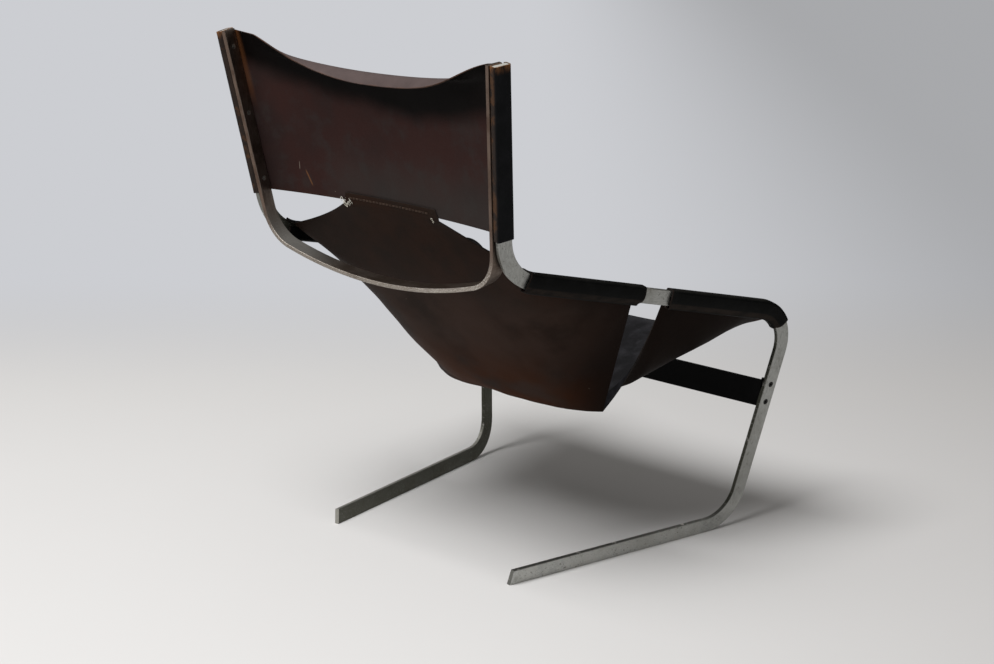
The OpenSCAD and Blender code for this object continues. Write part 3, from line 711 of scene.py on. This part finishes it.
tab_lap, tab_half, tab_low_half = 0.016, 0.107, 0.116
notch_half, notch_z, notch_ahead = 0.213, 0.259, 0.016
seat_low_z, seat_low_back, front_sag = 0.256, 0.032, 0.067
notch_bow_out, notch_bow_ahead, notch_bow_drop = 0.010, 0.021, 0.012
rear_sleeve_start = rear_tangent - rear_arc * 0.18
rear_sleeve_end, front_sleeve_start = 0.314, 0.377
front_sleeve_end, front_reach = knee_tangent + knee_arc * 0.53, knee_arc * 0.45
tab_over, sheet_step, notch_inset = 2 * hide_t, hide_t + ease, 0.013
flare_shares, right_tab_share = (0.44, 0.90, 0.58), 0.11
notch_guide_share, front_guide_share = 0.4, 0.35
seat_guide_ahead, seat_guide_down = 0.62, 0.86
hang_n = -(bar_t / 2 + ease + hide_t + ease + hide_t / 2)
hang_up = bar_w / 2 - hide_t


def tab_spot(lap, half):
    """A point of the seat's narrow top: so far above the back's lower edge, and so far aside."""
    t = 1 - lap / (wrap_len - panel_top_drop)
    return panel_point(t, half / panel_edge(panel_drop(t)).x) + plane_back * sheet_step


def hang_at(s):
    """Where the sling's left edge hangs from its rail."""
    spot, up = on_rail(s)
    return in_chair(hang_n, spot + up * hang_up)


def arc3(a, b, c, t):
    """A point of the curve that leaves a towards b and reaches c from b."""
    return mix(mix(a, b, t), mix(b, c, t), t)


rail_start = hang_at(rear_tangent - rear_arc * 0.09)
notch_rear, notch_front = hang_at(rear_sleeve_end - notch_inset), hang_at(front_sleeve_start)
rail_mid_y = in_chair(0, rear_corner + rail_dir * rail_len / 2).y
notch_spot = Vector((notch_half, rail_mid_y - notch_ahead, notch_z))
front_spot = hang_at(knee_tangent + front_reach)
tab_top, tab_low = tab_spot(tab_lap, tab_half), tab_spot(-tab_over, tab_low_half)
tab_mid_top, tab_mid_low = tab_spot(tab_lap, 0), tab_spot(-tab_over, 0)
flare = Vector([mix(a, b, share) for a, b, share in zip(tab_low, rail_start, flare_shares)])
notch_guide = mix(notch_spot, notch_front, notch_guide_share) \
    + Vector((notch_bow_out, -notch_bow_ahead, -notch_bow_drop))
seat_low = Vector((0, notch_spot.y + seat_low_back, seat_low_z))
front_mid = Vector((0, front_spot.y, front_spot.z - front_sag))
seat_guide = Vector((0, mix(tab_mid_low.y, seat_low.y, seat_guide_ahead),
                     mix(tab_mid_low.z, seat_low.z, seat_guide_down)))
front_guide = Vector((0, mix(seat_low.y, front_mid.y, front_guide_share), seat_low.z))
stops = (0, 0.04, 0.20, 0.48, 0.66, 0.80, 1)
lines_between = (4, 18, 28, 24, 18, 22)
knee_share, sling_columns = 0.6, 80
sling_dents, sling_out = ((0.0030, 0.11, 2.0), (0.0012, 0.045, 9.0)), Vector((0, -0.3, 0.95))


def sling_edge(t):
    """The sling's left edge: tab, flare, rear rail, notch down, notch up, front rail, knee."""
    k = max(i for i in range(len(stops) - 1) if t >= stops[i])
    s = (t - stops[k]) / (stops[k + 1] - stops[k])
    if k == 0:
        return mix(tab_top, tab_low, s)
    if k == 1:
        return arc3(tab_low, flare, rail_start, s)
    if k == 2:
        return mix(rail_start, notch_rear, s)
    if k == 3:
        return mix(notch_rear, notch_spot, s)
    if k == 4:
        return arc3(notch_spot, notch_guide, notch_front, s)
    if s < knee_share:
        return mix(notch_front, hang_at(knee_tangent), s / knee_share)
    return hang_at(knee_tangent + front_reach * (s - knee_share) / (1 - knee_share))


def sling_mid(t):
    """The sling's middle line: tab, hollow of the seat, rise to the front edge."""
    if t <= stops[1]:
        return mix(tab_mid_top, tab_mid_low, t / stops[1])
    if t <= stops[4]:
        return arc3(tab_mid_low, seat_guide, seat_low, (t - stops[1]) / (stops[4] - stops[1]))
    return arc3(seat_low, front_guide, front_mid, (t - stops[4]) / (1 - stops[4]))


def sling_power(t):
    """How steep the sling's sides are: 2 is an even bow, and more is a flatter middle."""
    return interp(t, (stops[1], stops[2], stops[4], stops[5], 1), (2, 3.1, 3.4, 4.6, 2.7))


row_shares = [mix(stops[k], stops[k + 1], i / n) for k, n in enumerate(lines_between)
              for i in range(n)] + [1]
sling_rows = []
for t in row_shares:
    mid, edge, power = sling_mid(t), sling_edge(t), sling_power(t)
    row = []
    for v in across(sling_columns):
        point = bow(mid, edge, v, power)
        if v < 0:
            point.x *= 1 + right_tab_share * (1 - smooth(t / 0.12))
        free = smooth((1 - abs(v)) / 0.15) * smooth((t - 0.12) / 0.2) * smooth((1 - t) / 0.05)
        dent = sum(depth * swelling(point, size, seed) for depth, size, seed in sling_dents)
        row.append(point + sling_out * free * dent)
    sling_rows.append(row)


def darker_notches_front(place):
    """Darker towards the notches, and over the front part."""
    notch = abs(place.axis(0)).fade(0.10, 0.25) * (1 - place.axis(1).fade(-0.02, 0.14))
    front = 1 - place.axis(1).fade(-0.12, -0.05)
    return notch.maths("MAXIMUM", front * 0.7), (0.0066, 0.0042, 0.0033), 0.86


def warm_low(place):
    """The lowest part, rubbed back to a warm brown."""
    low = (1 - place.axis(2).fade(0.27, 0.42)) * place.axis(1).fade(-0.06, 0.0)
    return low * place.cloud(9.0, 3.0).fade(0.32, 0.56), (0.046, 0.0135, 0.0036), 0.9


def worn_middle(place):
    """Dusty paler patches on the underside, behind the front part."""
    below = (1 - place.axis(2).fade(0.46, 0.54)) * place.axis(1).fade(-0.06, 0.0)
    return below * place.cloud(6.0, 4.0, 0.6).fade(0.32, 0.56), (0.048, 0.0285, 0.0220), 0.6


def red_front(place):
    """Bare red hide under the front edge."""
    return 1 - place.axis(1).fade(-0.365, -0.330), (0.060, 0.010, 0.007), 0.7


sling_flesh = flesh_side("seat_flesh", (0.0180, 0.0112, 0.0085), (0.0265, 0.0130, 0.0085),
                         (0.0175, 0.0130, 0.0105), (0.017, 0.011, 0.008),
                         (worn_middle, warm_low, darker_notches_front, red_front,
                          lambda place: (specks(place, 24.0, 0.0010, 0.2), (0.30, 0.25, 0.2), 0.6)),
                         sheen=0.025)
sling_face = face_side("seat_face", (0.020, 0.020, 0.022), 0.002, 0.02, (0.03, 0.02, 0.015),
                       (0.0070, 0.0068, 0.0078))
sling_cut = cut_edge("seat_cut_edge", (0.020, 0.014, 0.011))
seat_sling = hide_piece("seat_sling_hide", sling_rows, (sling_face, sling_flesh, sling_cut),
                        (0.66, 0.98))
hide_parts("seat_sling")


# Sleeves.
# The seat hide's side margins. Each turns over its rail with the black face outward, passes
# under the bar and is tucked back between bar and sling. The rear pair end in a rounded
# corner, and the front pair follow the bar round the knee.
sleeve_slack, sleeve_belly = 0.0032, 0.0020
sleeve_low, sleeve_tuck = -outer_up - sleeve_slack, 0.004
sleeve_puff, sleeve_dent, sleeve_dent_size = 0.0003, 0.0005, 0.035
sleeve_lead, lead_run = 0.016, 0.019
corner_from, corner_run = 0.034, 0.013
sleeve_path = rounded([Vector(p) for p in (
    (hang_n, hang_up), (-0.0088, outer_up), (outer_n, outer_up), (outer_n, sleeve_low),
    (-outer_n, sleeve_low), (-outer_n, sleeve_tuck))], [0.0030, 0.0030, 0.0034, fold_r],
    girth_step)
for q in sleeve_path:
    if q.x > bar_t / 2:
        q.x += sleeve_belly * max(0, 1 - (q.y / (bar_w / 2)) ** 2)
sleeve_runs = running(sleeve_path)


def sleeve_finish():
    """The black face, dull on top of the bar, and brown along the fold under it: a worn fold with a
    painted sheen.
    """
    finish = Finish("sleeve_face", Specular_IOR_Level=0.055)
    place = finish.place
    blotch = place.cloud(36.0, 4.0, 0.6)
    girth = finish.measure("girth")
    end = finish.measure("end_gap")
    fold = girth.band(0.0385, 0.0415, 0.0480, 0.0510)
    top = girth.band(0.004, 0.006, 0.017, 0.019)
    brown = place.stretched(1, 0.2, 1).cloud(110.0, 3.0, 0.6).fade(0.3, 0.62)
    colour = blotch.fade(0.4, 0.7).colour((0.0027, 0.003, 0.0028), (0.006, 0.0062, 0.006))
    # The fold band is partly wear and partly a painted sheen.
    colour = (fold * (0.15 + brown * 0.45)).colour(colour, (0.030, 0.021, 0.016))
    colour = (top * brown * 0.2).colour(colour, (0.022, 0.019, 0.016))
    ends = (1 - end.fade(0.0, 0.004)) * (0.2 + brown * 0.5)
    colour = ends.colour(colour, (0.022, 0.013, 0.010))
    height = grained(place, 1.0, 0.9) + blotch
    rough = 0.42 + blotch * 0.2 + girth.band(0.002, 0.006, 0.019, 0.022) * 0.4
    return finish.feed(Base_Color=colour, Roughness=rough, Normal=height.bumped(0.0002))


sleeve_skins = (sleeve_finish(), wrap_flesh, cut_edge("sleeve_cut_edge", (0.022, 0.014, 0.011)))


def corner_cut(run, size):
    """How far a sleeve's rounded end stands back at this run along the path round the bar."""
    q = min(1, max(0, (run - corner_from) / corner_run))
    return size * (1 - (1 - q * q) ** 0.5)


def sleeve_rows(side, first, last, lead, cut_first, cut_last, lines):
    """A sleeve from first to last on its rail. Its top starts further back, by the lead."""
    rows = []
    for i in range(lines + 1):
        row = []
        for q, run in zip(sleeve_path, sleeve_runs):
            start = first - lead * (1 - smooth(run / lead_run)) + corner_cut(run, cut_first)
            middle, up = on_rail(mix(start, last - corner_cut(run, cut_last), i / lines))
            spot = middle + up * q.y
            dent = swelling(in_chair(q.x, spot, side), sleeve_dent_size, 11.0 + side)
            puff = outer_share(q) * (sleeve_puff + sleeve_dent * (1 + dent))
            row.append(in_chair(q.x + puff, spot, side))
        rows.append(row)
    return rows


for side, word in sides:
    for part, first, last, *shape in (
            ("rear", rear_sleeve_start, rear_sleeve_end, sleeve_lead, 0.002, 0.011, 80),
            ("front", front_sleeve_start, front_sleeve_end, 0, 0.004, 0.006, 84)):
        node = part + "_sleeve_" + word
        rows = sleeve_rows(side, first, last, *shape)
        piece = hide_piece(node + "_hide", rows, sleeve_skins,
                           (0.098, round(last - first, 3)),
                           flip=side < 0)
        keep_measure(piece.data, "girth", sleeve_runs * len(rows))
        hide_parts(node)


# Thread.
# Waxed thread sews the seat's narrow top to the back's lower edge, with its ends knotted and
# frayed. More of it closes the sleeves, through the sling's edge and the tucked margin.
thread_r, around = 0.00045, 6
seam_rows, seam_half, seam_count = (0.0085, 0.0105), 0.100, 24
seam_stitch, sleeve_stitch = (0.12, 0.80), (0.12, 0.82)
knot_points, knot_step = 15, 0.12
sleeve_pitch, sleeve_seam_up = 0.0075, 0.0065
sleeve_seam_inset, corner_room = 0.012, 0.03


def thread_mesh(name, strands, material):
    """Round threads, each along its own points, joined in one piece."""
    points, faces = [], []
    for strand in strands:
        base = len(points)
        for i, p in enumerate(strand):
            go = (strand[min(i + 1, len(strand) - 1)] - strand[max(i - 1, 0)]).normalized()
            a = go.orthogonal().normalized()
            b = go.cross(a)
            points += [p + (a * cos(2 * pi * k / around) + b * sin(2 * pi * k / around)) * thread_r
                       for k in range(around)]
        for i in range(len(strand) - 1):
            for k in range(around):
                q, m = base + i * around, (k + 1) % around
                faces.append((q + k, q + m, q + around + m, q + around + k))
        faces.append(tuple(base + k for k in range(around))[::-1])
        last = base + (len(strand) - 1) * around
        faces.append(tuple(last + k for k in range(around)))
    mesh = bpy.data.meshes.new(name)
    mesh.from_pydata(points, [], faces)
    mesh.polygons.foreach_set("use_smooth", [True] * len(faces))
    mesh.materials.append(material)
    piece = add_object(name, mesh)
    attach(piece, "root")


def thread_finish(name, deep, light):
    """Waxed linen: dark between the strands of its twist, and light on them."""
    finish = Finish(name, Specular_IOR_Level=0.25)
    twist = finish.place.stretched(1, 1, 1.6).cloud(1500.0, 2.0, 0.6)
    wax = finish.place.cloud(60.0, 2.0)
    colour = (twist * 0.6 + wax * 0.4).fade(0.35, 0.65).colour(deep, light)
    return finish.feed(Base_Color=colour, Roughness=0.6 + twist * 0.2,
                       Normal=twist.bumped(0.0002))


def stitch(a, b, out, rise=0.0006):
    """One stitch on a surface: it dips into the hide at both ends."""
    return [a - out * rise, a + out * rise * 0.4, mix(a, b, 0.3) + out * rise,
            mix(a, b, 0.7) + out * rise, b + out * rise * 0.4, b - out * rise]


seam_stitches = []
for row in seam_rows:
    t = 1 - (tab_lap - row) / (wrap_len - panel_top_drop)
    for k in range(seam_count):
        ends = [panel_point(t, mix(-seam_half, seam_half, (k + e) / seam_count)
                            / panel_edge(panel_drop(1)).x) for e in seam_stitch]
        for level, out in ((sheet_step + hide_t / 2, plane_back), (-hide_t / 2, -plane_back)):
            seam_stitches.append(stitch(*(end + plane_back * level for end in ends), out))
thread_mesh("seat_seam_thread", seam_stitches,
            thread_finish("seam_thread", (0.032, 0.018, 0.012), (0.11, 0.070, 0.048)))


def knot_strand(start, end, size, k):
    """One frayed strand that curls away from its knot; k sets it apart from the others."""
    strand = []
    for s in (knot_step * i for i in range(knot_points)):
        curl = Vector((end * size * (s - 0.5 * sin(4 * s)), 0, size * sin(3.3 * s + k)))
        strand.append(start + curl + plane_back * (0.0018 * sin(5 * s + k) ** 2))
    return strand


knots = []
for end, strands, aside in ((1, 5, 0.0985), (-1, 1, -0.1155)):
    anchor = tab_spot(-0.002, aside) + plane_back * (hide_t / 2 + 0.0008)
    for k in range(strands):
        start = anchor + Vector((end * (0.004 * k - 0.006), 0, 0.0022 * ((k * 7) % 3 - 1)))
        knots.append(knot_strand(start, end, 0.0035 + 0.0011 * k, k))
thread_mesh("seat_seam_knots", knots,
            thread_finish("knot_thread", (0.38, 0.33, 0.25), (0.80, 0.78, 0.70)))

sleeve_stitches = []
for side in (1, -1):
    inward = in_chair(-1, Vector((0, 0)), side) - in_chair(0, Vector((0, 0)), side)
    for first, last in (
            (rear_sleeve_start + sleeve_seam_inset, rear_sleeve_end - corner_room),
            (front_sleeve_start + sleeve_seam_inset,
             knee_tangent + front_reach - sleeve_seam_inset)):
        count = round((last - first) / sleeve_pitch)
        for k in range(count):
            ends = []
            for e in sleeve_stitch:
                spot, up = on_rail(mix(first, last, (k + e) / count))
                ends.append(in_chair(hang_n - hide_t / 2, spot + up * sleeve_seam_up, side))
            sleeve_stitches.append(stitch(*ends, inward.normalized(), 0.0005))
thread_mesh("sleeve_thread", sleeve_stitches,
            thread_finish("sleeve_thread_wax", (0.012, 0.011, 0.010), (0.05, 0.04, 0.03)))


# Studio.
# The chair stands on a pale seamless floor in front of a pale wall. A large soft lamp hangs
# above and behind the chair, on the camera's left, and the room fills the rest.
camera_spot = Vector((-2.6360, 2.7457, 1.3982))
camera_yaw, camera_pitch, camera_roll = 0.7665, 0.2611, -0.0021
focal_pixels, photo_pixels, sensor_w = 2100, 994, 36
ahead = Vector((sin(camera_yaw) * cos(camera_pitch), -cos(camera_yaw) * cos(camera_pitch),
                -sin(camera_pitch)))
right = ahead.cross(Vector((0, 0, 1))).normalized()
above = right.cross(ahead)
right, above = (cos(camera_roll) * right + sin(camera_roll) * above,
                cos(camera_roll) * above - sin(camera_roll) * right)
camera_data = bpy.data.cameras.new("camera")
camera_data.sensor_width, camera_data.lens = sensor_w, focal_pixels / photo_pixels * sensor_w
camera_data.clip_end = 100
camera = add_object("camera", camera_data)
camera_axes = Matrix((right, above, -ahead)).transposed().to_4x4()
camera.matrix_world = Matrix.Translation(camera_spot) @ camera_axes
bpy.context.scene.camera = camera

wall_from, wall_to = 4.6, 5.9
floor_reach, floor_z = 20, -0.0003


def floor_finish():
    """A dull floor, painted darker towards the camera's right, that turns into a glowing wall far
    behind the chair.
    """
    finish = Finish("studio_floor", Roughness=0.7, Specular_IOR_Level=0.2)
    place = finish.place
    flat_ahead = Vector((ahead.x, ahead.y, 0)).normalized()
    flat_right = Vector((right.x, right.y, 0))
    away, aside = (place.node("ShaderNodeVectorMath", {0: place, 1: tuple(run)}, out="Value",
                              operation="DOT_PRODUCT") - camera_spot.dot(run)
                   for run in (flat_ahead, flat_right))
    scuffs = place.cloud(3.0, 5.0, 0.6) * 0.03 + specks(place, 3.0, 0.004, 0.3) * 0.1
    # Painted shade: the floor darkens towards the camera's right, away from the lamp.
    colour = aside.fade(-0.2, 1.3).colour((0.685, 0.676, 0.668), (0.60, 0.59, 0.585))
    colour = scuffs.colour(colour, (0.3, 0.3, 0.3))
    finish.feed(Base_Color=colour)
    # Painted light: the wall glows for camera, glossy and transmission rays, painted darker towards
    # the camera's right.
    wall = aside.fade(0.12, 1.75).colour((0.605, 0.615, 0.645), (0.390, 0.395, 0.409))
    glow = wall.node("ShaderNodeEmission", {"Color": wall})
    seen, mirrored, through = (
        wall.node("ShaderNodeLightPath", out="Is " + ray + " Ray")
        for ray in ("Camera", "Glossy", "Transmission"))
    share = away.fade(wall_from, wall_to) * (seen + mirrored + through)
    ground = Wire(finish.tree, finish.shader.outputs[0])
    both = wall.node("ShaderNodeMixShader", {0: share, 1: ground, 2: glow})
    out = finish.tree.nodes["Material Output"]
    finish.tree.links.new(both.socket, out.inputs["Surface"])
    return finish.material


floor_mesh = bpy.data.meshes.new("floor")
floor_mesh.from_pydata([(x * floor_reach, y * floor_reach, floor_z)
                        for x, y in ((-1, -1), (1, -1), (1, 1), (-1, 1))], [], [(0, 1, 2, 3)])
floor_mesh.materials.append(floor_finish())
floor = add_object("floor", floor_mesh)


def soft_lamp(name, spot, aim, size, power):
    """A round soft lamp at its spot, turned towards its aim."""
    data = bpy.data.lights.new(name, "AREA")
    data.shape, data.size, data.energy = "DISK", size, power
    lamp = add_object(name, data)
    lamp.location = spot
    lamp.rotation_euler = (Vector(aim) - Vector(spot)).to_track_quat("-Z", "Y").to_euler()


soft_lamp("key_lamp", (0.2, 2.45, 4.9), (0, -0.05, 0.3), 3.3, 325)
world = bpy.data.worlds.new("room")
world.use_nodes = True
room_light = world.node_tree.nodes["Background"].inputs
room_light["Color"].default_value = (1.0, 0.975, 0.94, 1)
room_light["Strength"].default_value = 0.22
bpy.context.scene.world = world
bpy.context.scene.view_settings.view_transform = "Standard"
